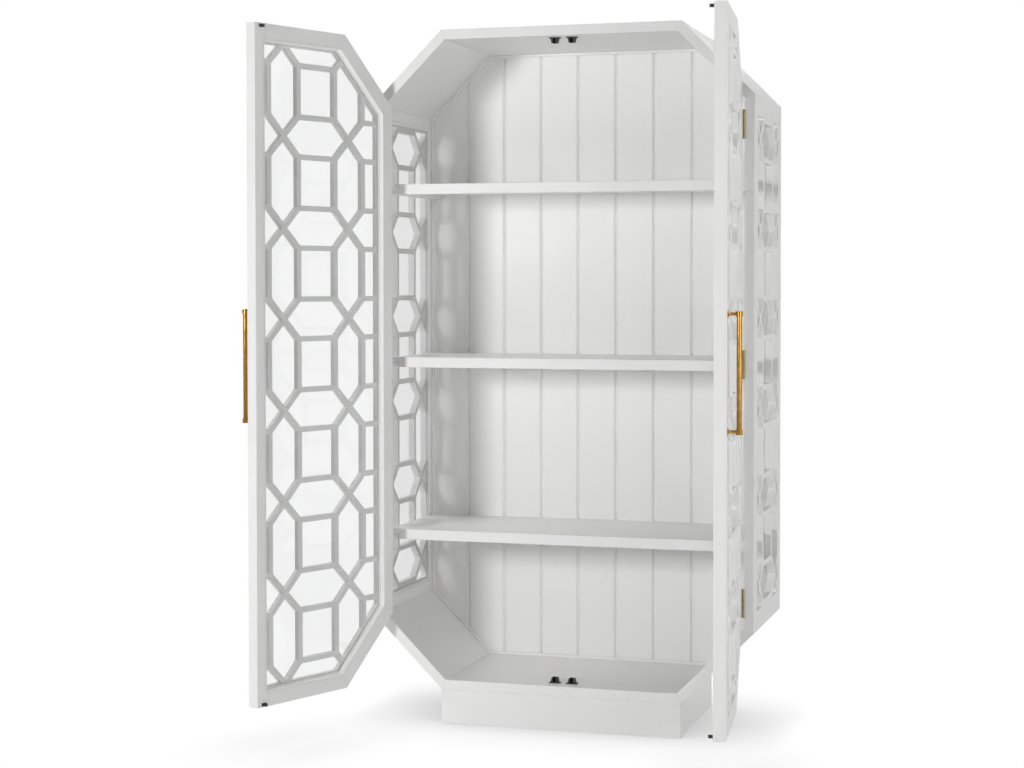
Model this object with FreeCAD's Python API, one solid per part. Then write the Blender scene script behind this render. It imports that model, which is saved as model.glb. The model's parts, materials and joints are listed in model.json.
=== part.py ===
import FreeCAD, Part
import math
import os

# Octagon-front display cabinet with two fretted glass doors, standing open.
# Sizes are in millimetres. X runs to the right, Y to the back and Z up.
# The origin is on the floor, at the centre of the plinth.

# Overall sizes
height = 2134.0
width = 1194.0
depth = 465.0
slope_leg = 220.0
board = 30.0
overrun = 5.0

# Plinth
plinth_height = 105.0
plinth_board = 22.0
plinth_brace = 44.0

# Fretwork: squares joined by diagonals that cross between them
fret_square = 150.0
fret_pitch = 267.0
fret_bar = 16.0
door_fret_thickness = 16.0
side_fret_thickness = 20.0
fret_rim = 4.0

# Glazing that the doors and the sides share
glazing_rabbet = 10.0
glazing_clearance = 0.4
glass_thickness = 4.0
stop_bevel = 3.0

# Side frames
side_stile = 50.0
side_rail = 44.0

# Doors
door_thickness = 36.0
door_gap = 3.0
lock_stile = 43.0
hinge_stile = 44.0
door_rail = 51.0
left_open_angle = 112.4
right_open_angle = 96.6

# Butt hinges
hinge_height = 85.0
hinge_margin = 35.0
leaf_width = 26.0
leaf_thickness = 2.0
leaf_play = 0.4
knuckle_radius = 3.6
knuckle_count = 3
knuckle_gap = 0.3
knuckle_clearance = 0.3
pin_radius = 2.0
pin_clearance = 0.05

# Bar handles
handle_centres = 313.0
handle_overhang = 8.0
handle_standoff = 31.0
handle_radius = 9.0
handle_collar_radius = 10.0
handle_collar_length = 15.0
post_base_radius = 12.0
post_neck_radius = 4.8
post_flare_height = 8.0

# Shelves
shelf_pitch = 538.0
shelf_drop = 7.0
shelf_panel = 18.0
shelf_setback = 45.0
nosing_height = 32.0
nosing_thickness = 20.0
cleat_width = 34.0
cleat_height = 13.0
cleat_play = 2.0

# Back
back_thickness = 18.0
back_board_count = 9
back_clearance = 0.4
back_groove = 13.0
back_groove_depth = 6.0
back_reveal = 1.2
tongue_length = 6.0
tongue_thickness = 5.0
tongue_clearance = 0.3
bead_size = 8.0
bead_bevel = 2.5

# Spring catches in the carcass and spear strikes on the doors
catch_offset = 27.0
catch_setback = 6.0
catch_flange_width = 34.0
catch_flange_thickness = 2.5
catch_body_width = 24.0
catch_foot_width = 17.0
catch_body_height = 17.0
catch_length = 19.0
catch_slot = 9.0
catch_slot_floor = 2.5
catch_rear_wall = 3.0
strike_base_width = 18.0
strike_base_thickness = 2.5
strike_height = 9.0
strike_drop = 3.5
strike_reach = 15.0
strike_neck = 4.0
strike_head = 7.0
strike_head_length = 8.0

V = FreeCAD.Vector
UP = V(0, 0, 1)
BACKWARDS = V(0, 1, 0)
RIGHTWARDS = V(1, 0, 0)

front = -depth / 2
back = depth / 2
inner_half_width = width / 2 - board
middle = (height + plinth_height) / 2
hinge_x = inner_half_width - door_gap / 2
hinge_y = front - knuckle_radius - knuckle_clearance
back_face = back - back_thickness


def inset(outline, widths):
    """Move each edge of a counterclockwise outline inwards by its own width."""
    lines = []
    for (ax, az), (bx, bz), distance in zip(outline, outline[1:] + outline[:1], widths):
        length = math.hypot(bx - ax, bz - az)
        nx = (az - bz) / length
        nz = (bx - ax) / length
        lines.append((nx, nz, nx * ax + nz * az + distance))
    corners = []
    for (a, b, c), (d, e, f) in zip(lines[-1:] + lines[:-1], lines):
        crossing = a * e - b * d
        corners.append(((c * e - b * f) / crossing, (a * f - c * d) / crossing))
    return corners


def even_inset(outline, distance):
    """Move every edge of a counterclockwise outline inwards by one distance."""
    return inset(outline, [distance] * len(outline))


def front_view(u, v, w):
    """A point of the front view: across, up and into the depth."""
    return V(u, w, v)


def side_view(u, v, w):
    """A point of the side view: along the depth, up and across."""
    return V(w, u, v)


def plan_view(u, v, w):
    """A point of the plan: across, along the depth and up."""
    return V(u, v, w)


def closed_wire(view, outline, level):
    """The wire of an outline drawn in a view, at one level."""
    points = [view(u, v, level) for u, v in outline]
    return Part.makePolygon(points + points[:1])


def prism(view, outline, low, high):
    """Extrude an outline drawn in a view between two levels."""
    face = Part.Face(closed_wire(view, outline, low))
    return face.extrude(view(0, 0, high - low))


def taper(view, low_outline, low, high_outline, high):
    """A solid with straight sides from one outline to a second, at another level."""
    wires = [closed_wire(view, low_outline, low), closed_wire(view, high_outline, high)]
    return Part.makeLoft(wires, True, True)


def box(x_low, x_high, y_low, y_high, z_low, z_high):
    """A box between two corners."""
    corner = V(x_low, y_low, z_low)
    return Part.makeBox(x_high - x_low, y_high - y_low, z_high - z_low, corner)


def rectangle(u_low, u_high, v_low, v_high):
    """A counterclockwise rectangle."""
    return [(u_low, v_low), (u_high, v_low), (u_high, v_high), (u_low, v_high)]


def strips(outer, inner):
    """Mitred outlines between two nested outlines, one for each edge."""
    pairs = list(zip(outer, inner))
    return [[a, b, d, c] for (a, c), (b, d) in zip(pairs, pairs[1:] + pairs[:1])]


def mirrored(shape):
    """The same piece on the left-hand side."""
    return shape.mirror(V(0, 0, 0), RIGHTWARDS)


def save(node, *solids):
    """Write one node."""
    shape = solids[0] if len(solids) == 1 else Part.makeCompound(list(solids))
    shape.exportStep("parts/" + node + ".step")


def octagon():
    """The outer outline of the front, counterclockwise from the bottom left."""
    half = width / 2
    flat = half - slope_leg
    low = plinth_height
    return [
        (-flat, low), (flat, low), (half, low + slope_leg), (half, height - slope_leg),
        (flat, height), (-flat, height), (-half, height - slope_leg), (-half, low + slope_leg),
    ]


def fret_cells(window, centre_u, centre_v):
    """Outlines of the open cells that can reach the window."""
    half = fret_square / 2
    tip = fret_pitch / 2
    far = fret_pitch - half
    shapes = [
        rectangle(-half, half, -half, half),
        [(half, -half), (tip, -tip), (far, -half), (far, half), (tip, tip), (half, half)],
        [(-half, half), (half, half), (tip, tip), (half, far), (-half, far), (-tip, tip)],
    ]
    reach_u = max(abs(u - centre_u) for u, v in window)
    reach_v = max(abs(v - centre_v) for u, v in window)
    columns = math.ceil(reach_u / fret_pitch)
    rows = math.ceil(reach_v / fret_pitch)
    cells = []
    for column in range(-columns, columns + 1):
        for row in range(-rows, rows + 1):
            shift_u = centre_u + column * fret_pitch
            shift_v = centre_v + row * fret_pitch
            for shape in shapes:
                moved = [(u + shift_u, v + shift_v) for u, v in shape]
                cells.append(even_inset(moved, fret_bar / 2))
    return cells


def fretwork(view, window, centre_u, centre_v, low, high):
    """A pierced panel with a thin rim, glued edge to edge into the window."""
    cells = [prism(view, cell, low, high) for cell in fret_cells(window, centre_u, centre_v)]
    field = prism(view, even_inset(window, fret_rim), low, high)
    openings = field.common(Part.makeCompound(cells)).Solids
    holes = [opening for opening in openings if narrowest(opening) > fret_bar]
    return prism(view, window, low, high).cut(Part.makeCompound(holes))


def narrowest(opening):
    """The smaller side of an upright opening; one narrower than a bar stays solid."""
    size = opening.BoundBox
    return min(size.ZLength, max(size.XLength, size.YLength))


def glass_pane(view, window, low, high):
    """A pane that sits in the rabbet behind the fretwork."""
    return prism(view, even_inset(window, glazing_clearance - glazing_rabbet), low, high)


def glass_stops(view, window, glass, face):
    """Mitred strips, bevelled towards the pane, that hold it in its rabbet."""
    outer = even_inset(window, glazing_clearance - glazing_rabbet)
    into = math.copysign(stop_bevel, face - glass)
    bevel = taper(view, window, face - into, even_inset(window, -stop_bevel), face)
    return [prism(view, strip, glass, face).cut(bevel) for strip in strips(outer, window)]


def make_shell():
    """Top, bottom and four sloping boards, mitred to each other and the sides."""
    outer = octagon()
    boards = strips(outer, even_inset(outer, board))
    names = [
        "bottom_panel", "slope_lower_right", "", "slope_upper_right",
        "top_panel", "slope_upper_left", "", "slope_lower_left",
    ]
    for name, outline in zip(names, boards):
        if name:
            save(name, prism(front_view, outline, front, back))


def side_window():
    """The glazed opening of a side, in Y and Z."""
    corner = even_inset(octagon(), board)
    low = corner[2][1] + side_rail
    high = corner[3][1] - side_rail
    return rectangle(front + side_stile, back - side_stile, low, high)


def frame_leaf_seats():
    """Room for the three hinge leaves in the right-hand front stile."""
    high = hinge_x + leaf_play / 2 + leaf_thickness
    seats = []
    for z in hinge_heights():
        low_z = z - hinge_height / 2
        seats.append(box(hinge_x, high, front - overrun, front + leaf_width, low_z, low_z + hinge_height))
    return Part.makeCompound(seats)


def make_side(side, place):
    """One glazed side: two stiles, two rails, fretwork, pane and stops."""
    outer = octagon()
    inner = even_inset(outer, board)
    profile = [outer[2], outer[3], inner[3], inner[2]]
    window = side_window()
    rabbet = even_inset(window, -glazing_rabbet)
    face = width / 2
    low_z = window[0][1]
    high_z = window[2][1]
    fret_back = face - side_fret_thickness
    glass_back = fret_back - glass_thickness
    room = prism(side_view, rabbet, inner_half_width - overrun, fret_back)
    full = prism(front_view, profile, front, back).cut(room)
    full = full.cut(prism(side_view, window, inner_half_width - overrun, face + overrun))
    wide_low = inner_half_width - overrun
    wide_high = face + overrun
    front_stile = full.common(box(wide_low, wide_high, front, front + side_stile, 0, height))
    front_stile = front_stile.cut(frame_leaf_seats())
    rear_stile = full.common(box(wide_low, wide_high, back - side_stile, back, 0, height))
    between = (front + side_stile, back - side_stile)
    top_rail = full.common(box(wide_low, wide_high, *between, high_z, height))
    bottom_rail = full.common(box(wide_low, wide_high, *between, 0, low_z))
    fret = fretwork(side_view, window, 0, middle, fret_back, face)
    pane = glass_pane(side_view, window, glass_back, fret_back)
    stops = glass_stops(side_view, window, glass_back, inner_half_width)
    save(side + "_front_stile", place(front_stile))
    save(side + "_rear_stile", place(rear_stile))
    save(side + "_top_rail", place(top_rail))
    save(side + "_bottom_rail", place(bottom_rail))
    save(side + "_fret", place(fret))
    save(side + "_glass", place(pane))
    save(side + "_glass_stops", *[place(stop) for stop in stops])


def make_plinth():
    """Four boards under the bottom panel, with a brace across the middle."""
    half = width / 2 - slope_leg
    inner_front = front + plinth_board
    inner_back = back - plinth_board
    save("plinth_front", box(-half, half, front, inner_front, 0, plinth_height))
    save("plinth_back", box(-half, half, inner_back, back, 0, plinth_height))
    end = box(half - plinth_board, half, inner_front, inner_back, 0, plinth_height)
    save("plinth_right", end)
    save("plinth_left", mirrored(end))
    brace = box(-plinth_brace / 2, plinth_brace / 2, inner_front, inner_back, 0, plinth_height)
    save("plinth_brace", brace)


def back_board(left, right, first, last):
    """One upright board with a tongue, a groove and bevelled front edges."""
    face = back_face
    tongue_low = face + (back_thickness - tongue_thickness) / 2
    tongue_high = tongue_low + tongue_thickness
    groove_floor = face + back_groove_depth
    reach = right + tongue_length - tongue_clearance
    depth_in = left + tongue_length
    if not first:
        left += back_reveal / 2
    if not last:
        right -= back_reveal / 2
    bevel = (back_groove - back_reveal) / 2
    outline = [(left + bevel, face), (right - bevel, face), (right, groove_floor)]
    if not last:
        outline += [(right, tongue_low + tongue_clearance), (reach, tongue_low + tongue_clearance)]
        outline += [(reach, tongue_high - tongue_clearance), (right, tongue_high - tongue_clearance)]
    outline += [(right, back), (left, back)]
    if not first:
        outline += [(left, tongue_high), (depth_in, tongue_high)]
        outline += [(depth_in, tongue_low), (left, tongue_low)]
    outline += [(left, groove_floor)]
    return prism(plan_view, outline, plinth_height, height)


def make_back():
    """Tongued boards set into the carcass behind a mitred bead."""
    inner = even_inset(octagon(), board)
    opening = prism(front_view, even_inset(inner, back_clearance), front, back)
    pitch = 2 * inner_half_width / back_board_count
    boards = []
    for index in range(back_board_count):
        left = index * pitch - inner_half_width
        plank = back_board(left, left + pitch, index == 0, index == back_board_count - 1)
        boards.append(plank.common(opening))
    save("back_boards", *boards)
    save("back_beads", *back_beads())


def back_beads():
    """Eight mitred strips with a bevel, round the inside in front of the boards."""
    inner = even_inset(octagon(), board)
    tip = even_inset(inner, bead_size)
    face = back_face - bead_size
    bevel = taper(front_view, even_inset(tip, -bead_bevel), face, tip, face + bead_bevel)
    return [prism(front_view, strip, face, back_face).cut(bevel) for strip in strips(inner, tip)]


def shelf_top(index):
    """Height of a shelf's top face, counted from the middle shelf."""
    return middle - shelf_drop + nosing_height / 2 + index * shelf_pitch


def make_shelves():
    """Three shelves: a panel on two cleats, with a deep nosing in front."""
    beads = Part.makeCompound(back_beads())
    nosing_front = front + shelf_setback
    panel_front = nosing_front + nosing_thickness
    nosing_half = inner_half_width - cleat_width - cleat_play
    cleat_back = back_face - bead_size
    nosings = []
    cleats = []
    for name, index in (("shelf_lower", -1), ("shelf_middle", 0), ("shelf_upper", 1)):
        top = shelf_top(index)
        under = top - shelf_panel
        panel = box(-inner_half_width, inner_half_width, panel_front, back_face, under, top)
        save(name, panel.cut(beads))
        nosings.append(box(-nosing_half, nosing_half, nosing_front, panel_front, top - nosing_height, top))
        cleat = box(
            inner_half_width - cleat_width, inner_half_width,
            panel_front, cleat_back, under - cleat_height, under,
        )
        cleats += [cleat, mirrored(cleat)]
    save("shelf_nosings", *nosings)
    save("shelf_cleats", *cleats)


def hinge_heights():
    """Heights of the hinge centres on one door, kept clear of the sloping boards."""
    straight = even_inset(octagon(), board)
    low = straight[2][1] + hinge_margin + hinge_height / 2
    high = straight[3][1] - hinge_margin - hinge_height / 2
    return [low, (low + high) / 2, high]


def knuckles(z, first):
    """Every other knuckle of one hinge, as height ranges."""
    pitch = hinge_height / knuckle_count
    low = z - hinge_height / 2
    ranges = []
    for index in range(first, knuckle_count, 2):
        start = low + index * pitch
        ranges.append((start + knuckle_gap / 2, start + pitch - knuckle_gap / 2))
    return ranges


def hinge_leaf(z, first, away):
    """A leaf with its knuckles, on one side of the closed hinge's axis."""
    near = hinge_x + away * leaf_play / 2
    far = near + away * leaf_thickness
    x_low = min(near, far)
    x_high = max(near, far)
    low_z = z - hinge_height / 2
    leaf = box(x_low, x_high, front, front + leaf_width, low_z, low_z + hinge_height)
    for low, high in knuckles(z, first):
        barrel = Part.makeCylinder(knuckle_radius, high - low, V(hinge_x, hinge_y, low), UP)
        leaf = leaf.fuse([barrel, box(x_low, x_high, hinge_y, front, low, high)])
    return leaf


def hinge_rod(z, radius):
    """A rod along the axis of one hinge, between the middles of its end knuckles."""
    length = hinge_height - hinge_height / knuckle_count
    return Part.makeCylinder(radius, length, V(hinge_x, hinge_y, z - length / 2), UP)


def frame_leaf(z):
    """The leaf that stays on the carcass, with the pin riveted into its knuckles."""
    return hinge_leaf(z, 0, 1).fuse(hinge_rod(z, pin_radius)).removeSplitter()


def door_leaf(z):
    """The leaf that moves with a door and turns on the pin."""
    return hinge_leaf(z, 1, -1).cut(hinge_rod(z, pin_radius + pin_clearance)).removeSplitter()


def make_frame_hinges():
    """The leaves and pins that stay on the carcass."""
    leaves = [frame_leaf(z) for z in hinge_heights()]
    save("side_right_hinge_leaves", *leaves)
    save("side_left_hinge_leaves", *[mirrored(leaf) for leaf in leaves])


def catch(ceiling, down):
    """A one-piece spring catch: a flange and a tapered body with a blind slot."""
    low_y = front + door_thickness + catch_setback
    high_y = low_y + catch_length
    flange_z = ceiling + down * catch_flange_thickness
    body_z = ceiling + down * catch_body_height
    slot_z = ceiling + down * catch_slot_floor
    half_flange = catch_flange_width / 2
    half_body = catch_body_width / 2
    half_foot = catch_foot_width / 2
    half_slot = catch_slot / 2
    outline = [
        (-half_flange, ceiling), (half_flange, ceiling), (half_flange, flange_z), (half_body, flange_z),
        (half_foot, body_z), (-half_foot, body_z), (-half_body, flange_z), (-half_flange, flange_z),
    ]
    outline = [(x + catch_offset, z) for x, z in outline]
    ends = sorted((slot_z, body_z + down * overrun))
    slot = box(
        catch_offset - half_slot, catch_offset + half_slot,
        low_y - overrun, high_y - catch_rear_wall, *ends,
    )
    return prism(front_view, outline, low_y, high_y).cut(slot)


def make_catches():
    """Two catches under the top panel and two on the bottom panel."""
    upper = catch(height - board, -1)
    lower = catch(plinth_height + board, 1)
    save("catches", upper, mirrored(upper), lower, mirrored(lower))


def strike(edge, down):
    """A spear on the inner face of a door, at the end of the lock stile."""
    face = front + door_thickness
    neck_end = face + strike_reach - strike_head_length
    half_base = strike_base_width / 2
    half_neck = strike_neck / 2
    half_head = strike_head / 2
    tip = face + strike_reach
    outline = [
        (-half_base, face), (half_base, face), (half_base, face + strike_base_thickness),
        (half_neck, face + strike_base_thickness), (half_neck, neck_end), (half_head, neck_end),
        (0, tip), (-half_head, neck_end), (-half_neck, neck_end),
        (-half_neck, face + strike_base_thickness), (-half_base, face + strike_base_thickness),
    ]
    outline = [(x + catch_offset, y) for x, y in outline]
    start = edge + down * strike_drop
    ends = sorted((start, start + down * strike_height))
    return prism(plan_view, outline, *ends)


def door_outline():
    """The outline of the closed right-hand door, from the bottom of its lock edge."""
    corner = even_inset(octagon(), board + door_gap)
    lock = door_gap / 2
    return [(lock, corner[1][1]), corner[1], corner[2], corner[3], corner[4], (lock, corner[4][1])]


def door_window():
    """The glazed opening of the closed right-hand door."""
    widths = [door_rail, door_rail, hinge_stile, door_rail, door_rail, lock_stile]
    return inset(door_outline(), widths)


def make_door_frame(side, place):
    """Two stiles, two rails and two sloping rails with a glazing rabbet."""
    outline = door_outline()
    window = door_window()
    face = front + door_thickness
    rabbet = even_inset(window, -glazing_rabbet)
    room = prism(front_view, rabbet, front + door_fret_thickness, face + overrun)
    inner_x = window[0][0]
    low = outline[0][1]
    high = outline[5][1]
    members = {
        "lock_stile": rectangle(outline[0][0], inner_x, low, high),
        "bottom_rail": [(inner_x, low), outline[1], window[1], window[0]],
        "lower_slope_rail": [outline[1], outline[2], window[2], window[1]],
        "hinge_stile": [outline[2], outline[3], window[3], window[2]],
        "upper_slope_rail": [outline[3], outline[4], window[4], window[3]],
        "top_rail": [outline[4], (inner_x, high), window[5], window[4]],
    }
    for name, member in members.items():
        solid = prism(front_view, member, front, face).cut(room)
        if name == "hinge_stile":
            solid = solid.cut(door_leaf_seats())
        save(side + "_" + name, place(solid))


def door_leaf_seats():
    """Room for the three hinge leaves in the door's hinge stile."""
    low = hinge_x - leaf_play / 2 - leaf_thickness
    seats = []
    for z in hinge_heights():
        low_z = z - hinge_height / 2
        seats.append(box(low, hinge_x, front - overrun, front + leaf_width, low_z, low_z + hinge_height))
    return Part.makeCompound(seats)


def make_door_glazing(side, place):
    """The fretwork flush with the outer face, the pane behind it and its stops."""
    window = door_window()
    fret_back = front + door_fret_thickness
    glass_back = fret_back + glass_thickness
    save(side + "_fret", place(fretwork(front_view, window, 0, middle, front, fret_back)))
    save(side + "_glass", place(glass_pane(front_view, window, fret_back, glass_back)))
    stops = glass_stops(front_view, window, glass_back, front + door_thickness)
    save(side + "_glass_stops", *[place(stop) for stop in stops])


def handle_bar(x, y):
    """An upright round bar with a collar at each end."""
    half = handle_centres / 2 + handle_overhang
    collar = half - handle_collar_length
    profile = [
        (0, -half), (handle_collar_radius, -half), (handle_collar_radius, -collar),
        (handle_radius, -collar), (handle_radius, collar),
        (handle_collar_radius, collar), (handle_collar_radius, half), (0, half),
    ]
    points = [V(x + r, y, middle + along) for r, along in profile]
    face = Part.Face(Part.makePolygon(points + points[:1]))
    return face.revolve(V(x, y, middle), UP, 360)


def handle_post(x, z, bar):
    """A turned post that flares out to its foot on the door."""
    neck = front - post_flare_height
    end = front - handle_standoff
    profile = [
        (0, front), (post_base_radius, front),
        (post_neck_radius, neck), (post_neck_radius, end), (0, end),
    ]
    points = [V(x + radius, y, z) for radius, y in profile]
    face = Part.Face(Part.makePolygon(points + points[:1]))
    return face.revolve(V(x, front, z), BACKWARDS, 360).cut(bar)


def make_handle(side, place):
    """A bar on two posts, on the outer face of the lock stile."""
    x = door_gap / 2 + lock_stile / 2
    bar = handle_bar(x, front - handle_standoff)
    posts = [handle_post(x, middle + step * handle_centres / 2, bar) for step in (-1, 1)]
    save(side + "_handle", *[place(piece) for piece in [bar] + posts])


def make_door_fittings(side, place):
    """The hinge leaves and catch strikes that move with a door."""
    leaves = [place(door_leaf(z)) for z in hinge_heights()]
    save(side + "_hinge_leaves", *leaves)
    outline = door_outline()
    strikes = [strike(outline[5][1], -1), strike(outline[0][1], 1)]
    save(side + "_strikes", *[place(piece) for piece in strikes])


def place_right_side(shape):
    """Right-hand carcass pieces are drawn in place."""
    return shape


def place_right_door(shape):
    """Swing a closed right-hand door piece to its open place."""
    turned = shape.copy()
    turned.rotate(V(hinge_x, hinge_y, 0), UP, right_open_angle)
    return turned


def place_left_door(shape):
    """Swing a closed left-hand door piece to its open place."""
    turned = mirrored(shape)
    turned.rotate(V(-hinge_x, hinge_y, 0), UP, -left_open_angle)
    return turned


def main():
    os.makedirs("parts", exist_ok=True)
    make_shell()
    make_plinth()
    make_back()
    make_shelves()
    make_catches()
    make_frame_hinges()
    for side, place in (("side_right", place_right_side), ("side_left", mirrored)):
        make_side(side, place)
    for side, place in (("door_right", place_right_door), ("door_left", place_left_door)):
        make_door_frame(side, place)
        make_door_glazing(side, place)
        make_handle(side, place)
        make_door_fittings(side, place)


main()
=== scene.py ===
"""Finishes and small fittings of an octagon-front display cabinet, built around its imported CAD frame."""

import json
import math

import bmesh
import bpy
from mathutils import Matrix, Vector

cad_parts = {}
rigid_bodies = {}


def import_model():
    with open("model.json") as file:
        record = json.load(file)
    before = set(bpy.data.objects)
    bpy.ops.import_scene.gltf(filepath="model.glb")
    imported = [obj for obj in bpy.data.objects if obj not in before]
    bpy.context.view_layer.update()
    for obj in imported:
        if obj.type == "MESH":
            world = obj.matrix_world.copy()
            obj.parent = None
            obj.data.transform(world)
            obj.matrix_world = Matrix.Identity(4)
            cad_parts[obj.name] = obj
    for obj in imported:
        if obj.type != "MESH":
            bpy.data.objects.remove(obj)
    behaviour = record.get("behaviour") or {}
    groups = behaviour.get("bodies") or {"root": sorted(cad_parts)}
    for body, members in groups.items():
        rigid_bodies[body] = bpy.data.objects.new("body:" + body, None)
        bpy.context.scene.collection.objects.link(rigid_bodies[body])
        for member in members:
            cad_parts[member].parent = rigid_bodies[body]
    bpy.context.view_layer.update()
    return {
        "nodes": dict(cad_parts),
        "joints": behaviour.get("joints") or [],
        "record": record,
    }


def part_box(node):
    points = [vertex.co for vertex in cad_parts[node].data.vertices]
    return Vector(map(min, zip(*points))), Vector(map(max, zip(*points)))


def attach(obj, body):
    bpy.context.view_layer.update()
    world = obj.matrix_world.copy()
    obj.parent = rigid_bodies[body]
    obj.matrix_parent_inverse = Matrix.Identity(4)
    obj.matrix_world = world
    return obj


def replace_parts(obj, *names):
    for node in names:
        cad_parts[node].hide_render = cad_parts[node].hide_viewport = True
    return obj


bl_info = {
    "name": "Octagon Display Cabinet",
    "version": (1, 0, 0),
    "blender": (4, 5, 0),
    "location": "3D View > Sidebar > Cabinet",
    "description": "Finishes, turned handles, screws and studio for a display cabinet with fretwork doors",
    "category": "Object",
}

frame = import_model()

SIDES = {"left": -1, "right": 1}
SLOT_OF = {part["node"]: part["material_slot"] for part in frame["record"]["subparts"]}
# Section of a glass stop, in shares of its width from the window's edge and of its height from the glass
STOP_MOULDING = (
    (0, 0), (0, 0.17), (0.02, 0.20), (0.06, 0.22), (0.40, 0.22), (0.42, 0.25),
    (0.56, 0.94), (0.60, 0.99), (0.66, 1), (1, 1),
)
# How far the pane reaches under its stops, as a share of their width
PANE_EDGE = 0.1
# Points closer than this are taken as touching, and closer than the second as one point
TOUCH = 1e-5
SAME = 1e-6
# Angles in degrees at which shading breaks, an edge is eased and two faces count as flat
SHARP_EDGE = 35
EASED_EDGE = 30
FLAT_EDGE = 0.5
EASE_SEGMENTS = 2
# Sides of the turned pieces
BAR_SIDES = 40
POST_SIDES = 32
SCREW_SIDES = 24
# Steps in the curve of a post's flare and in each half of a screw's rim
FLARE_STEPS = 8
RIM_STEPS = 12
# Post of a handle: rounding of its foot, and the widening at the bar as shares of the neck and of the reach
FOOT_ROUND = 0.0004
HEAD_SPREAD = 1.35
HEAD_START = 0.62
HEAD_FULL = 0.78
# Screws: bottom of the slot as a share of the head's height, and the slots' first angle and step in degrees
SLOT_BOTTOM = 0.4
SLOT_ANGLE = 37
SLOT_STEP = 71
# Share of light that glass mirrors when faced squarely, and how steeply that rises to the edge
GLASS_MIRROR = 0.04
GLASS_RISE = 5
# Stage: lamps by name, place and size, and what they face
LAMPS = (
    ("left", (-4.43, 1.19, 3.54), (2.6, 2.0)),
    ("key", (-1.93, -4.79, 1.73), (0.8, 0.8)),
    ("front", (3.33, -3.97, 1.55), (1.6, 1.6)),
    ("right", (4.95, 0, 2.7), (2.6, 2.0)),
    ("back", (-1.0, 4.9, 2.9), (2.6, 2.0)),
)
LAMP_TARGET = (0, 0, 1.1)
FLOOR_HALF = 6
SENSOR_WIDTH = 36
# Depth of the floor's painted contact shadow, which ambient occlusion draws into the floor's white glow, and how
# far it reaches
PAINTED_SHADOW_TONE = 0.45
PAINTED_SHADOW_REACH = 0.3
# Where the room seen in reflections starts and stops brightening, front to back
ROOM_DARK_TO = -0.45
ROOM_WHITE_FROM = 0.05


# Places taken from the frame

def swing(side):
    """The turn that takes a closed door to where it stands open."""
    hinge = next(joint for joint in frame["joints"] if joint["child"] == side + "_door")
    place = Matrix.Translation(hinge["pos_m"])
    turn = Matrix.Rotation(math.radians(-hinge["range_deg"][0]), 4, Vector(hinge["axis"]))
    return place @ turn @ place.inverted()


def closed_points(node, side):
    """A door node's corners with the door closed."""
    back = swing(side).inverted()
    return [back @ corner.co for corner in frame["nodes"][node].data.vertices]


def limits(points):
    """The lowest and highest corners of some points."""
    low = Vector([min(point[axis] for point in points) for axis in range(3)])
    high = Vector([max(point[axis] for point in points) for axis in range(3)])
    return low, high


def groups(points, axis, gap):
    """Points split into groups wherever they leave a gap along one axis."""
    found = []
    last = None
    for point in sorted(points, key=lambda p: p[axis]):
        if last is None or point[axis] - last > gap:
            found.append([])
        found[-1].append(point)
        last = point[axis]
    return found


def nodes_in(slot):
    """The CAD nodes that take one of the record's finishes."""
    return [node for node in sorted(frame["nodes"]) if SLOT_OF[node] == slot]


# Meshes

def turned(profile, steps):
    """A solid turned round the Z axis from (radius, height) points."""
    mesh = bmesh.new()
    rim = [mesh.verts.new((radius, 0, height)) for radius, height in profile]
    for start, end in zip(rim, rim[1:]):
        mesh.edges.new((start, end))
    bmesh.ops.spin(
        mesh, geom=mesh.verts[:] + mesh.edges[:], axis=(0, 0, 1), cent=(0, 0, 0),
        angle=math.tau, steps=steps, use_merge=True,
    )
    bmesh.ops.remove_doubles(mesh, verts=mesh.verts[:], dist=SAME)
    bmesh.ops.recalc_face_normals(mesh, faces=mesh.faces[:])
    return mesh


def raise_face(mesh, face, step):
    """Makes a solid of one face by drawing it out."""
    raised = bmesh.ops.extrude_face_region(mesh, geom=[face])
    corners = [item for item in raised["geom"] if isinstance(item, bmesh.types.BMVert)]
    bmesh.ops.translate(mesh, verts=corners, vec=step)


def join(target, source, place):
    """Adds a placed copy of one mesh to another."""
    copy = bpy.data.meshes.new("copy")
    source.to_mesh(copy)
    copy.transform(place)
    if place.is_negative:
        copy.flip_normals()
    target.from_mesh(copy)
    bpy.data.meshes.remove(copy)


def add_piece(name, mesh, material, body):
    """Makes a smooth-shaded object that moves with one of the frame's bodies."""
    data = bpy.data.meshes.new(name)
    mesh.to_mesh(data)
    mesh.free()
    data.shade_smooth()
    data.set_sharp_from_angle(angle=math.radians(SHARP_EDGE))
    data.materials.append(material)
    piece = bpy.data.objects.new(name, data)
    bpy.context.scene.collection.objects.link(piece)
    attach(piece, body)
    return piece


def set_material(node, material):
    """Gives a CAD node one material."""
    data = frame["nodes"][node].data
    data.materials.clear()
    data.materials.append(material)


def ease(node, width):
    """Rounds a CAD node's edges with modifiers, which leave its own corners as they are."""
    piece = frame["nodes"][node]
    weld = piece.modifiers.new("weld", "WELD")
    weld.merge_threshold = TOUCH
    flat = piece.modifiers.new("flat", "DECIMATE")
    flat.decimate_type = "DISSOLVE"
    flat.angle_limit = math.radians(FLAT_EDGE)
    bevel = piece.modifiers.new("ease", "BEVEL")
    bevel.width = width
    bevel.segments = EASE_SEGMENTS
    bevel.limit_method = "ANGLE"
    bevel.angle_limit = math.radians(EASED_EDGE)
    bevel.harden_normals = True


# Materials

def new_material(name):
    """A node material, its nodes, its links and its main shader."""
    material = bpy.data.materials.new(name)
    material.use_nodes = True
    tree = material.node_tree
    return material, tree.nodes, tree.links, tree.nodes["Principled BSDF"]


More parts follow.
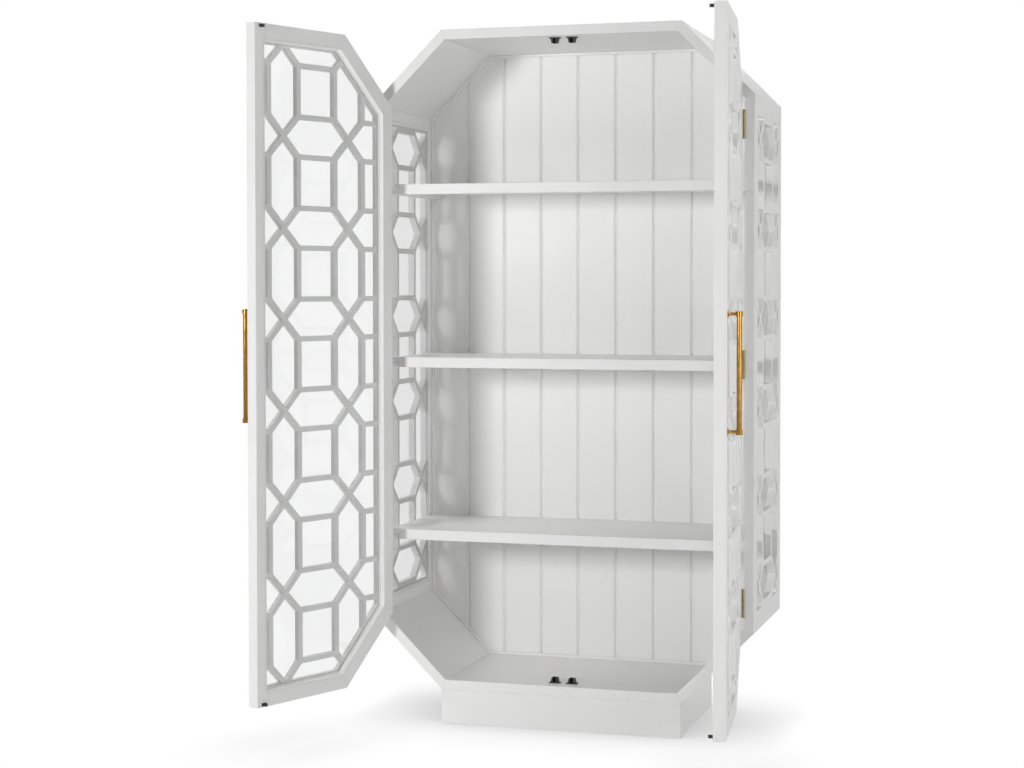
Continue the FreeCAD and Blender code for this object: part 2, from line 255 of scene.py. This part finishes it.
def stretched_noise(nodes, links, stretch, scale, detail):
    """Noise on object coordinates, drawn out along one or more axes."""
    place = nodes.new("ShaderNodeTexCoord")
    mapping = nodes.new("ShaderNodeMapping")
    mapping.inputs["Scale"].default_value = stretch
    noise = nodes.new("ShaderNodeTexNoise")
    noise.inputs["Scale"].default_value = scale
    noise.inputs["Detail"].default_value = detail
    links.new(place.outputs["Object"], mapping.inputs["Vector"])
    links.new(mapping.outputs["Vector"], noise.inputs["Vector"])
    return noise.outputs["Fac"]


def blend_colours(nodes, links, factor, low, high):
    """Two colours mixed by a factor."""
    ramp = nodes.new("ShaderNodeValToRGB")
    ramp.color_ramp.elements[0].position = 0.35
    ramp.color_ramp.elements[0].color = (*low, 1)
    ramp.color_ramp.elements[1].position = 0.65
    ramp.color_ramp.elements[1].color = (*high, 1)
    links.new(factor, ramp.inputs["Fac"])
    return ramp.outputs["Color"]


def spread(nodes, links, factor, low, high):
    """A factor spread between two values."""
    band = nodes.new("ShaderNodeMapRange")
    band.inputs["From Min"].default_value = 0.3
    band.inputs["From Max"].default_value = 0.7
    band.inputs["To Min"].default_value = low
    band.inputs["To Max"].default_value = high
    links.new(factor, band.inputs["Value"])
    return band.outputs["Result"]


def relief(nodes, links, height, strength, distance, shader):
    """Raises a shader's surface by a height."""
    bump = nodes.new("ShaderNodeBump")
    bump.inputs["Strength"].default_value = strength
    bump.inputs["Distance"].default_value = distance
    links.new(height, bump.inputs["Height"])
    links.new(bump.outputs["Normal"], shader.inputs["Normal"])


def paint_material(name, finish, stretch):
    """Satin paint, brushed along the direction in which the noise is drawn out."""
    material, nodes, links, shader = new_material(name)
    cloud = stretched_noise(nodes, links, (1, 1, 1), 5, 3)
    brush = stretched_noise(nodes, links, stretch, 420, 4)
    colour = blend_colours(nodes, links, cloud, finish.paint_low, finish.paint_high)
    links.new(colour, shader.inputs["Base Color"])
    links.new(spread(nodes, links, cloud, 0.38, 0.48), shader.inputs["Roughness"])
    shader.inputs["Specular IOR Level"].default_value = 0.4
    relief(nodes, links, brush, 0.12, 0.0004, shader)
    return material


def metal_material(name, low, high, rough, stretch):
    """Brass with a faint drawn grain and patches of tarnish."""
    material, nodes, links, shader = new_material(name)
    cloud = stretched_noise(nodes, links, (1, 1, 1), 60, 4)
    grain = stretched_noise(nodes, links, stretch, 900, 3)
    links.new(blend_colours(nodes, links, cloud, low, high), shader.inputs["Base Color"])
    links.new(spread(nodes, links, grain, rough, rough + 0.12), shader.inputs["Roughness"])
    shader.inputs["Metallic"].default_value = 1
    relief(nodes, links, grain, 0.02, 0.0002, shader)
    return material


def plastic_material(name, low, high):
    """Moulded black plastic with a fine texture."""
    material, nodes, links, shader = new_material(name)
    cloud = stretched_noise(nodes, links, (1, 1, 1), 300, 3)
    links.new(blend_colours(nodes, links, cloud, low, high), shader.inputs["Base Color"])
    links.new(spread(nodes, links, cloud, 0.45, 0.6), shader.inputs["Roughness"])
    relief(nodes, links, cloud, 0.1, 0.0002, shader)
    return material


def glass_material(name, tint):
    """A clear thin pane that mirrors more the flatter it is seen."""
    material, nodes, links, shader = new_material(name)
    nodes.remove(shader)
    smear = stretched_noise(nodes, links, (1, 1, 0.3), 9, 3)
    clear = nodes.new("ShaderNodeBsdfTransparent")
    clear.inputs["Color"].default_value = (*tint, 1)
    mirror = nodes.new("ShaderNodeBsdfGlossy")
    links.new(spread(nodes, links, smear, 0.0, 0.04), mirror.inputs["Roughness"])
    facing = nodes.new("ShaderNodeLayerWeight")
    facing.inputs["Blend"].default_value = 0.5
    rise = nodes.new("ShaderNodeMath")
    rise.operation = "POWER"
    rise.inputs[1].default_value = GLASS_RISE
    share = nodes.new("ShaderNodeMath")
    share.operation = "MULTIPLY_ADD"
    share.inputs[1].default_value = 1 - GLASS_MIRROR
    share.inputs[2].default_value = GLASS_MIRROR
    mix = nodes.new("ShaderNodeMixShader")
    links.new(facing.outputs["Facing"], rise.inputs[0])
    links.new(rise.outputs["Value"], share.inputs[0])
    links.new(share.outputs["Value"], mix.inputs["Fac"])
    links.new(clear.outputs["BSDF"], mix.inputs[1])
    links.new(mirror.outputs["BSDF"], mix.inputs[2])
    links.new(mix.outputs["Shader"], nodes["Material Output"].inputs["Surface"])
    return material


# Settings

def length(name, description, default):
    """A property that holds a length in metres."""
    return bpy.props.FloatProperty(
        name=name, description=description, default=default, min=0, unit="LENGTH", precision=5
    )


def colour(name, description, default):
    """A property that holds a linear colour."""
    return bpy.props.FloatVectorProperty(
        name=name, description=description, default=default, size=3, min=0, max=1, subtype="COLOR"
    )


def power(name, description, default):
    """A property that holds a lamp's power in watts."""
    return bpy.props.FloatProperty(
        name=name, description=description, default=default, min=0, subtype="POWER"
    )


class CabinetFittings(bpy.types.PropertyGroup):
    """Sizes of the eased edges, screws and turned shapes."""

    board_ease: length("Board ease", "Rounding on the edges of boards and frames", 0.0012)
    fret_ease: length("Fret ease", "Rounding on the edges of the fretwork", 0.0010)
    metal_ease: length("Metal ease", "Rounding on the edges of hinges and catches", 0.0003)
    end_round: length("Bar end rounding", "Rounding on the ends of a handle's bar", 0.0008)
    collar: length("Collar length", "Length of the thicker end of a handle's bar", 0.0135)
    collar_step: length("Collar step", "How far a collar stands above the bar", 0.0025)
    foot_height: length("Foot height", "Height of the flat foot of a handle's post", 0.0015)
    flare: length("Flare height", "Height over which a post narrows to its neck", 0.0075)
    neck: length("Neck radius", "Radius of a handle's post at its neck", 0.0046)
    leaf_play: length("Leaf play", "Gap between the two leaves of a closed hinge", 0.0004)
    hinge_gap: length("Hinge gap", "Least gap between two hinges or catches one above the other", 0.1)
    hinge_screw: length("Hinge screw radius", "Radius of the heads of the hinge screws", 0.0034)
    hinge_screw_height: length("Hinge screw height", "How far the hinge screws stand above a leaf", 0.00012)
    screw_slot: length("Screw slot", "Width of the slot in a screw head", 0.0008)
    screw_inset: length("Screw inset", "Distance of the outer hinge screws from a leaf's ends", 0.0130)
    screw_edge: length("Screw edge", "Distance of the middle hinge screw from a leaf's back edge", 0.0075)
    screw_stagger: length("Screw stagger", "How far the outer hinge screws stand forward", 0.0075)
    catch_gap: length("Catch gap", "Least gap between two catches side by side", 0.0100)
    catch_screw: length("Catch screw radius", "Radius of the heads of the catch and strike screws", 0.0019)
    catch_screw_height: length("Catch screw height", "Height of the heads of the catch and strike screws", 0.0006)
    catch_screw_inset: length("Catch screw inset", "Distance of a catch's screws from its ends", 0.0026)
    strike_screw_inset: length("Strike screw inset", "Distance of a strike's screws from its ends", 0.0030)
    flange: length("Flange", "Thickness of the flanges of the catches and strikes", 0.0025)


class CabinetFinish(bpy.types.PropertyGroup):
    """Colours of the finishes."""

    paint_low: colour("Paint, darker", "Darker tone of the white paint", (0.945, 0.943, 0.938))
    paint_high: colour("Paint, lighter", "Lighter tone of the white paint", (0.957, 0.955, 0.950))
    handle_low: colour("Handle brass, darker", "Darker tone of the handles", (0.42, 0.235, 0.054))
    handle_high: colour("Handle brass, lighter", "Lighter tone of the handles", (0.53, 0.300, 0.078))
    hinge_low: colour("Hinge brass, darker", "Darker tone of the hinges", (0.29, 0.230, 0.10))
    hinge_high: colour("Hinge brass, lighter", "Lighter tone of the hinges", (0.38, 0.300, 0.14))
    black_low: colour("Plastic, darker", "Darker tone of the catches", (0.010, 0.010, 0.010))
    black_high: colour("Plastic, lighter", "Lighter tone of the catches", (0.020, 0.020, 0.020))
    steel_low: colour("Screws, darker", "Darker tone of the catch screws", (0.30, 0.30, 0.30))
    steel_high: colour("Screws, lighter", "Lighter tone of the catch screws", (0.42, 0.42, 0.42))
    glass: colour("Glass", "Tint of one face of a pane", (0.962, 0.964, 0.963))


class CabinetStudio(bpy.types.PropertyGroup):
    """Camera and lamps."""

    eye: bpy.props.FloatVectorProperty(
        name="Camera place", description="Where the camera stands", default=(1.5917, -5.7325, 1.3540),
        size=3, subtype="TRANSLATION", unit="LENGTH",
    )
    turn: bpy.props.FloatProperty(
        name="Camera turn", description="Turn of the camera to its left",
        default=math.radians(15.951), subtype="ANGLE",
    )
    tilt: bpy.props.FloatProperty(
        name="Camera tilt", description="How far the camera looks up, and down when negative",
        default=math.radians(-1.5), subtype="ANGLE",
    )
    lens: bpy.props.FloatProperty(
        name="Lens", description="Focal length for a sensor 36 mm wide", default=66.691, min=1,
        subtype="DISTANCE_CAMERA",
    )
    shift: bpy.props.FloatVectorProperty(
        name="Lens shift", description="Sideways and upward shift of the picture",
        default=(-0.0519, -0.0485), size=2,
    )
    left_power: power("Left lamp", "Power of the lamp at the left", 115)
    key_power: power("Key power", "Power of the lamp in front at the left", 96)
    front_power: power("Front lamp", "Power of the lamp in front at the right", 36)
    right_power: power("Right lamp", "Power of the lamp at the right", 52)
    back_power: power("Back lamp", "Power of the lamp behind the cabinet", 50)
    sky: bpy.props.FloatProperty(
        name="Room light", description="Strength of the light from all round", default=0.11, min=0,
    )
    room: bpy.props.FloatProperty(
        name="Room", description="Brightness of the room in front, as metal shows it", default=0.36, min=0,
    )


def settings(context):
    """The three groups of settings."""
    scene = context.scene
    return scene.cabinet_fittings, scene.cabinet_finish, scene.cabinet_studio


# Pieces

class CABINET_OT_paint_woodwork(bpy.types.Operator):
    """Paints the boards, frames, stops, shelves and fretwork and eases their edges"""

    bl_idname = "cabinet.paint_woodwork"
    bl_label = "Paint Woodwork"

    def execute(self, context):
        fittings, finish, _ = settings(context)
        upright = paint_material("paint_upright", finish, (1, 1, 0.03))
        across = paint_material("paint_across", finish, (0.03, 1, 1))
        deep = paint_material("paint_deep", finish, (1, 0.03, 1))
        for node in nodes_in("white_paint"):
            low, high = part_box(node)
            size = high - low
            if size.z >= max(size.x, size.y):
                paint = upright
            elif size.x >= size.y:
                paint = across
            else:
                paint = deep
            set_material(node, paint)
            if node != "back_boards" and not node.endswith("glass_stops"):
                ease(node, fittings.fret_ease if node.endswith("fret") else fittings.board_ease)
        return {"FINISHED"}


def stop_corners(points, axis, glass):
    """The inner and outer corners of a frame of stops where it meets the glass, in order round it."""
    low, high = limits(points)
    middle = (low + high) / 2
    first, second = [other for other in range(3) if other != axis]
    seat = {
        tuple(round(value, 5) for value in point)
        for point in points if abs(point[axis] - glass) < TOUCH
    }
    across = sorted(
        (Vector(point) for point in seat),
        key=lambda p: (p[first] - middle[first]) ** 2 + (p[second] - middle[second]) ** 2,
    )
    pairs = []
    while across:
        inner = across.pop(0)
        outer = min(across, key=lambda p: (p - inner).length)
        across.remove(outer)
        pairs.append((inner, outer))
    return sorted(
        pairs, key=lambda pair: math.atan2(pair[0][second] - middle[second], pair[0][first] - middle[first])
    )


def moulded_stops(corners, rise, bed):
    """Mitred strips with a stepped moulding over the pane's edge and a bed beside it."""
    section = [(1, 0, 1), (PANE_EDGE, 0, 1), (PANE_EDGE, 0, 0)]
    section += [(u, v, 0) for u, v in STOP_MOULDING]
    mesh = bmesh.new()
    for start, end in zip(corners, corners[1:] + corners[:1]):
        near, far = [
            [mesh.verts.new(inner + (outer - inner) * u + rise * v + bed * w) for u, v, w in section]
            for inner, outer in (start, end)
        ]
        mesh.faces.new(near)
        mesh.faces.new(far)
        for index, corner in enumerate(near):
            mesh.faces.new((near[index - 1], corner, far[index], far[index - 1]))
    bmesh.ops.recalc_face_normals(mesh, faces=mesh.faces[:])
    return mesh


def cut_pane(corners, bed):
    """A pane of glass that fills the bed."""
    mesh = bmesh.new()
    rim = [mesh.verts.new(inner + (outer - inner) * PANE_EDGE) for inner, outer in corners]
    raise_face(mesh, mesh.faces.new(rim), bed)
    bmesh.ops.recalc_face_normals(mesh, faces=mesh.faces[:])
    return mesh


class CABINET_OT_glaze(bpy.types.Operator):
    """Puts panes of clear glass and their moulded stops into the doors and sides"""

    bl_idname = "cabinet.glaze"
    bl_label = "Glaze Panes"

    def execute(self, context):
        _, finish, _ = settings(context)
        glass = glass_material("clear_glass", finish.glass)
        paint = bpy.data.materials["paint_upright"]
        for side, sign in SIDES.items():
            for kind, axis, body in (("door", 1, side + "_door"), ("side", 0, "carcass")):
                name = kind + "_" + side
                back = swing(side) if kind == "door" else Matrix.Identity(4)
                closed = back.inverted()
                stops, pane = [
                    [closed @ corner.co for corner in frame["nodes"][name + part].data.vertices]
                    for part in ("_glass_stops", "_glass")
                ]
                inward = Vector((0, 1, 0)) if kind == "door" else Vector((-sign, 0, 0))
                low, high = limits(stops)
                seat = low[axis] if inward[axis] > 0 else high[axis]
                pane_low, pane_high = limits(pane)
                bed = -inward * (pane_high - pane_low)[axis]
                corners = stop_corners(stops, axis, seat)
                strips = moulded_stops(corners, inward * (high - low)[axis], bed)
                sheet = cut_pane(corners, bed)
                for mesh in (strips, sheet):
                    bmesh.ops.transform(mesh, matrix=back, verts=mesh.verts[:])
                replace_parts(add_piece(name + "_stops", strips, paint, body), name + "_glass_stops")
                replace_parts(add_piece(name + "_pane", sheet, glass, body), name + "_glass")
        return {"FINISHED"}


def handle_bar(fittings, radius, half):
    """The turned bar of a handle, along Z."""
    body = radius - fittings.collar_step
    end = half - fittings.end_round
    inner = half - fittings.collar
    fade = inner - fittings.end_round
    upper = [(body, fade), (radius, inner), (radius, end), (radius - fittings.end_round, half), (0, half)]
    lower = [(r, -z) for r, z in reversed(upper)]
    return turned(lower + upper, BAR_SIDES)


def handle_post(fittings, radius, reach):
    """A turned post of a handle, along Z, from its foot to the bar."""
    profile = [(0, 0), (radius - FOOT_ROUND, 0), (radius, FOOT_ROUND), (radius, fittings.foot_height)]
    for step in range(1, FLARE_STEPS + 1):
        angle = step / FLARE_STEPS * math.pi / 2
        across = radius - (radius - fittings.neck) * math.sin(angle)
        up = fittings.foot_height + fittings.flare * (1 - math.cos(angle))
        profile.append((across, up))
    head = fittings.neck * HEAD_SPREAD
    profile += [(fittings.neck, reach * HEAD_START), (head, reach * HEAD_FULL), (head, reach), (0, reach)]
    return turned(profile, POST_SIDES)


class CABINET_OT_make_handles(bpy.types.Operator):
    """Turns the bars and flared posts of the two handles"""

    bl_idname = "cabinet.make_handles"
    bl_label = "Make Handles"

    def execute(self, context):
        fittings, finish, _ = settings(context)
        brass = metal_material("handle_brass", finish.handle_low, finish.handle_high, 0.1, (1, 1, 0.05))
        for side in SIDES:
            node = "door_" + side + "_handle"
            points = closed_points(node, side)
            low, high = limits(points)
            foot = (high.x - low.x) / 2
            half_centres = (high.z - low.z) / 2 - foot
            crest_low, crest_high = limits([p for p in points if p.y < low.y + TOUCH])
            half = (crest_high.z - crest_low.z) / 2
            end_low, end_high = limits(
                [p for p in points if p.z > crest_high.z - TOUCH and p.y < high.y - foot]
            )
            radius = (end_high.x - end_low.x) / 2
            centre = Vector(((low.x + high.x) / 2, low.y + radius, (low.z + high.z) / 2))
            mesh = bmesh.new()
            bar = handle_bar(fittings, radius, half)
            join(mesh, bar, Matrix.Translation(centre))
            bar.free()
            post = handle_post(fittings, foot, high.y - centre.y)
            outward = Matrix.Rotation(math.radians(90), 4, "X")
            for step in (-1, 1):
                place = Matrix.Translation((centre.x, high.y, centre.z + step * half_centres)) @ outward
                join(mesh, post, place)
            post.free()
            bmesh.ops.transform(mesh, matrix=swing(side), verts=mesh.verts[:])
            piece = add_piece("handle_" + side, mesh, brass, side + "_door")
            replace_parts(piece, node)
        return {"FINISHED"}


def screw_head(radius, height, slot):
    """A slotted screw head along Z, standing on zero."""
    floor = height * SLOT_BOTTOM
    mesh = turned([(0, 0), (radius, 0), (radius, floor), (0, floor)], SCREW_SIDES)
    lean = math.asin(slot / 2 / radius)
    for half in (0, math.pi):
        angles = [half + lean + (math.pi - 2 * lean) * step / RIM_STEPS for step in range(RIM_STEPS + 1)]
        rim = [
            mesh.verts.new((radius * math.cos(angle), radius * math.sin(angle), floor)) for angle in angles
        ]
        raise_face(mesh, mesh.faces.new(rim), (0, 0, height - floor))
    bmesh.ops.recalc_face_normals(mesh, faces=mesh.faces[:])
    return mesh


def put_screws(mesh, head, places, outward):
    """Adds screw heads at some places, each with its slot at an angle of its own."""
    stand = Vector(outward).to_track_quat("Z", "Y").to_matrix().to_4x4()
    for index, place in enumerate(places):
        turn = Matrix.Rotation(math.radians(SLOT_ANGLE + SLOT_STEP * index), 4, "Z")
        join(mesh, head, Matrix.Translation(place) @ stand @ turn)


class CABINET_OT_finish_hinges(bpy.types.Operator):
    """Finishes the hinge leaves and puts in their screws"""

    bl_idname = "cabinet.finish_hinges"
    bl_label = "Finish Hinges"

    def execute(self, context):
        fittings, finish, _ = settings(context)
        brass = metal_material("hinge_brass", finish.hinge_low, finish.hinge_high, 0.3, (1, 1, 0.1))
        head = screw_head(fittings.hinge_screw, fittings.hinge_screw_height, fittings.screw_slot)
        for side, sign in SIDES.items():
            axis_x = next(joint for joint in frame["joints"] if joint["child"] == side + "_door")["pos_m"][0]
            for kind, away in (("side", 1), ("door", -1)):
                node = kind + "_" + side + "_hinge_leaves"
                set_material(node, brass)
                ease(node, fittings.metal_ease)
                corners = frame["nodes"][node].data.vertices
                points = closed_points(node, side) if kind == "door" else [corner.co for corner in corners]
                face_x = axis_x + sign * away * fittings.leaf_play / 2
                mesh = bmesh.new()
                for leaf in groups(points, 2, fittings.hinge_gap):
                    low, high = limits(leaf)
                    rows = (low.z + fittings.screw_inset, (low.z + high.z) / 2, high.z - fittings.screw_inset)
                    near = high.y - fittings.screw_edge - fittings.screw_stagger
                    columns = (near, high.y - fittings.screw_edge, near)
                    places = [(face_x, y, z) for y, z in zip(columns, rows)]
                    put_screws(mesh, head, places, (-sign * away, 0, 0))
                if kind == "door":
                    bmesh.ops.transform(mesh, matrix=swing(side), verts=mesh.verts[:])
                body = side + "_door" if kind == "door" else "carcass"
                add_piece(kind + "_" + side + "_hinge_screws", mesh, brass, body)
        head.free()
        return {"FINISHED"}


class CABINET_OT_finish_catches(bpy.types.Operator):
    """Finishes the spring catches and their strikes and puts in their screws"""

    bl_idname = "cabinet.finish_catches"
    bl_label = "Finish Catches"

    def execute(self, context):
        fittings, finish, _ = settings(context)
        black = plastic_material("black_plastic", finish.black_low, finish.black_high)
        steel = metal_material("screw_steel", finish.steel_low, finish.steel_high, 0.3, (1, 1, 1))
        for node in nodes_in("black_plastic"):
            set_material(node, black)
            ease(node, fittings.metal_ease)
        head = screw_head(fittings.catch_screw, fittings.catch_screw_height, fittings.screw_slot)
        points = [corner.co for corner in frame["nodes"]["catches"].data.vertices]
        mesh = bmesh.new()
        for upright, down in zip(groups(points, 2, fittings.hinge_gap), (1, -1)):
            for catch in groups(upright, 0, fittings.catch_gap):
                low, high = limits(catch)
                flange = (low.z if down > 0 else high.z) + down * fittings.flange
                middle = (low.y + high.y) / 2
                edges = (low.x + fittings.catch_screw_inset, high.x - fittings.catch_screw_inset)
                put_screws(mesh, head, [(x, middle, flange) for x in edges], (0, 0, down))
        add_piece("catch_screws", mesh, steel, "carcass")
        for side in SIDES:
            mesh = bmesh.new()
            for strike in groups(closed_points("door_" + side + "_strikes", side), 2, fittings.hinge_gap):
                low, high = limits(strike)
                edges = (low.x + fittings.strike_screw_inset, high.x - fittings.strike_screw_inset)
                places = [(x, low.y + fittings.flange, (low.z + high.z) / 2) for x in edges]
                put_screws(mesh, head, places, (0, 1, 0))
            bmesh.ops.transform(mesh, matrix=swing(side), verts=mesh.verts[:])
            add_piece("strike_screws_" + side, mesh, steel, side + "_door")
        head.free()
        return {"FINISHED"}


# Stage

def seen_rays(nodes, links):
    """One for rays that show a thing, straight or in metal and glass, and zero for rays that light."""
    path = nodes.new("ShaderNodeLightPath")
    socket = path.outputs["Is Camera Ray"]
    for kind in ("Is Glossy Ray", "Is Transmission Ray"):
        either = nodes.new("ShaderNodeMath")
        either.operation = "MAXIMUM"
        links.new(socket, either.inputs[0])
        links.new(path.outputs[kind], either.inputs[1])
        socket = either.outputs["Value"]
    return socket


def floor_material(name):
    """A pale floor, seen as a white glow with a painted soft shadow, darker where ambient occlusion finds
    whatever stands on it.
    """
    material, nodes, links, shader = new_material(name)
    cloud = stretched_noise(nodes, links, (1, 1, 1), 2, 2)
    pale = blend_colours(nodes, links, cloud, (0.94, 0.94, 0.94), (0.96, 0.96, 0.96))
    links.new(pale, shader.inputs["Base Color"])
    shader.inputs["Roughness"].default_value = 0.9
    shader.inputs["Specular IOR Level"].default_value = 0
    # Painted shadow: ambient occlusion dims the floor's white glow near whatever stands on it, in place of a
    # shadow cast by the lamps
    shade = nodes.new("ShaderNodeAmbientOcclusion")
    shade.samples = 32
    shade.inputs["Distance"].default_value = PAINTED_SHADOW_REACH
    depth = nodes.new("ShaderNodeMapRange")
    depth.inputs["To Min"].default_value = PAINTED_SHADOW_TONE
    depth.inputs["To Max"].default_value = 1
    glow = nodes.new("ShaderNodeEmission")
    glow.inputs["Color"].default_value = (1, 1, 1, 1)
    mix = nodes.new("ShaderNodeMixShader")
    links.new(shade.outputs["AO"], depth.inputs["Value"])
    links.new(depth.outputs["Result"], glow.inputs["Strength"])
    links.new(seen_rays(nodes, links), mix.inputs["Fac"])
    links.new(shader.outputs["BSDF"], mix.inputs[1])
    links.new(glow.outputs["Emission"], mix.inputs[2])
    links.new(mix.outputs["Shader"], nodes["Material Output"].inputs["Surface"])
    return material


def make_world(strength, front):
    """White behind the object, a darker room in front that only shows in reflections, and a soft light."""
    world = bpy.data.worlds.new("studio")
    world.use_nodes = True
    bpy.context.scene.world = world
    nodes = world.node_tree.nodes
    links = world.node_tree.links
    light = nodes["Background"]
    light.inputs["Color"].default_value = (1, 1, 1, 1)
    light.inputs["Strength"].default_value = strength
    white = nodes.new("ShaderNodeBackground")
    white.inputs["Color"].default_value = (1, 1, 1, 1)
    white.inputs["Strength"].default_value = 1
    room = nodes.new("ShaderNodeBackground")
    room.inputs["Color"].default_value = (1, 1, 1, 1)
    place = nodes.new("ShaderNodeTexCoord")
    split = nodes.new("ShaderNodeSeparateXYZ")
    fade = nodes.new("ShaderNodeMapRange")
    fade.inputs["From Min"].default_value = ROOM_DARK_TO
    fade.inputs["From Max"].default_value = ROOM_WHITE_FROM
    fade.inputs["To Min"].default_value = front
    fade.inputs["To Max"].default_value = 1
    links.new(place.outputs["Generated"], split.inputs["Vector"])
    links.new(split.outputs["Y"], fade.inputs["Value"])
    links.new(fade.outputs["Result"], room.inputs["Strength"])
    path = nodes.new("ShaderNodeLightPath")
    mirrored = nodes.new("ShaderNodeMixShader")
    links.new(path.outputs["Is Glossy Ray"], mirrored.inputs["Fac"])
    links.new(light.outputs["Background"], mirrored.inputs[1])
    links.new(room.outputs["Background"], mirrored.inputs[2])
    seen = nodes.new("ShaderNodeMath")
    seen.operation = "MAXIMUM"
    links.new(path.outputs["Is Camera Ray"], seen.inputs[0])
    links.new(path.outputs["Is Transmission Ray"], seen.inputs[1])
    mix = nodes.new("ShaderNodeMixShader")
    links.new(seen.outputs["Value"], mix.inputs["Fac"])
    links.new(mirrored.outputs["Shader"], mix.inputs[1])
    links.new(white.outputs["Background"], mix.inputs[2])
    links.new(mix.outputs["Shader"], nodes["World Output"].inputs["Surface"])


def add_lamp(name, place, size, watts, panes):
    """A large soft lamp that faces the cabinet and isn't mirrored in the panes."""
    data = bpy.data.lights.new(name, "AREA")
    data.shape = "RECTANGLE"
    data.size = size[0]
    data.size_y = size[1]
    data.energy = watts
    lamp = bpy.data.objects.new(name, data)
    lamp.location = place
    lamp.rotation_euler = (Vector(LAMP_TARGET) - Vector(place)).to_track_quat("-Z", "Y").to_euler()
    bpy.context.scene.collection.objects.link(lamp)
    spared = bpy.data.collections.new(name + "_lamp_spares")
    for pane in panes:
        spared.objects.link(pane)
    for entry in spared.collection_objects:
        entry.light_linking.link_state = "EXCLUDE"
    lamp.light_linking.receiver_collection = spared


class CABINET_OT_set_stage(bpy.types.Operator):
    """Sets up the floor, the lamps and the camera"""

    bl_idname = "cabinet.set_stage"
    bl_label = "Set Stage"

    def execute(self, context):
        _, _, studio = settings(context)
        mesh = bmesh.new()
        bmesh.ops.create_grid(mesh, x_segments=1, y_segments=1, size=FLOOR_HALF)
        data = bpy.data.meshes.new("floor")
        mesh.to_mesh(data)
        mesh.free()
        data.materials.append(floor_material("floor"))
        floor = bpy.data.objects.new("floor", data)
        context.scene.collection.objects.link(floor)
        make_world(studio.sky, studio.room)
        panes = [piece for piece in context.scene.objects if piece.name.endswith("_pane")]
        for name, place, size in LAMPS:
            add_lamp(name, place, size, getattr(studio, name + "_power"), panes)
        lens = bpy.data.cameras.new("camera")
        lens.sensor_width = SENSOR_WIDTH
        lens.lens = studio.lens
        lens.shift_x, lens.shift_y = studio.shift
        camera = bpy.data.objects.new("camera", lens)
        camera.location = studio.eye
        camera.rotation_euler = (math.radians(90) + studio.tilt, 0, studio.turn)
        context.scene.collection.objects.link(camera)
        context.scene.camera = camera
        context.scene.view_settings.view_transform = "Standard"
        return {"FINISHED"}


class CABINET_PT_cabinet(bpy.types.Panel):
    """Lists the cabinet's settings and steps"""

    bl_idname = "CABINET_PT_cabinet"
    bl_label = "Display Cabinet"
    bl_space_type = "VIEW_3D"
    bl_region_type = "UI"
    bl_category = "Cabinet"

    def draw(self, context):
        for group in settings(context):
            box = self.layout.box()
            for name in group.bl_rna.properties.keys():
                if name not in ("rna_type", "name"):
                    box.prop(group, name)
        for step in STEPS:
            self.layout.operator(step.bl_idname)


STEPS = (
    CABINET_OT_paint_woodwork,
    CABINET_OT_glaze,
    CABINET_OT_make_handles,
    CABINET_OT_finish_hinges,
    CABINET_OT_finish_catches,
    CABINET_OT_set_stage,
)
CLASSES = (CabinetFittings, CabinetFinish, CabinetStudio, *STEPS, CABINET_PT_cabinet)


def register():
    for cls in CLASSES:
        bpy.utils.register_class(cls)
    bpy.types.Scene.cabinet_fittings = bpy.props.PointerProperty(type=CabinetFittings)
    bpy.types.Scene.cabinet_finish = bpy.props.PointerProperty(type=CabinetFinish)
    bpy.types.Scene.cabinet_studio = bpy.props.PointerProperty(type=CabinetStudio)


def unregister():
    del bpy.types.Scene.cabinet_studio
    del bpy.types.Scene.cabinet_finish
    del bpy.types.Scene.cabinet_fittings
    for cls in reversed(CLASSES):
        bpy.utils.unregister_class(cls)


def main():
    """Runs every step in order."""
    register()
    bpy.ops.cabinet.paint_woodwork()
    bpy.ops.cabinet.glaze()
    bpy.ops.cabinet.make_handles()
    bpy.ops.cabinet.finish_hinges()
    bpy.ops.cabinet.finish_catches()
    bpy.ops.cabinet.set_stage()


if __name__ == "__main__":
    main()
